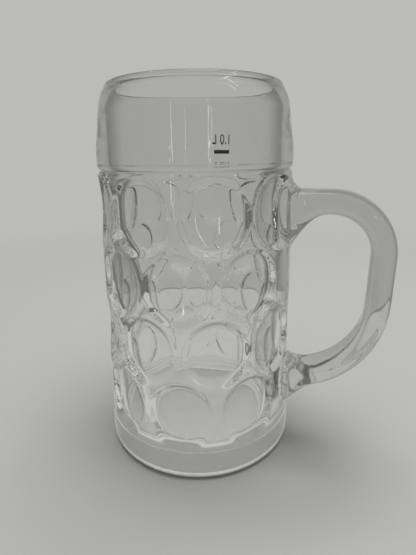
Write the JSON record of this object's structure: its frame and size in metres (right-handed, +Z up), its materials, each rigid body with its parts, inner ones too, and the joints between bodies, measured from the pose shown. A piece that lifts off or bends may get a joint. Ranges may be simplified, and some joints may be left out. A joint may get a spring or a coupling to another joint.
{
  "type": "glass beer mug",
  "caption": "Tall dimpled glass beer mug with a thick base, a plain drinking band, a fused-on loop handle and an enamel fill line on the far side.",
  "frame": {"origin": "centre of the ring that the mug stands on, at table height", "axes": "+Z up through the mouth, +X towards the handle; the fill line is on the +Y side"},
  "size_m": [0.1603, 0.1106, 0.2],
  "materials": {
    "body_glass": "clear, fire-polished, faint grey-green in the thick base",
    "handle_glass": "clear, fire-polished",
    "enamel": "fired black enamel"
  },
  "bodies": {
    "root": {"body": "body_glass", "handle": "handle_glass", "fill_line": "enamel"}
  },
  "joints": []
}
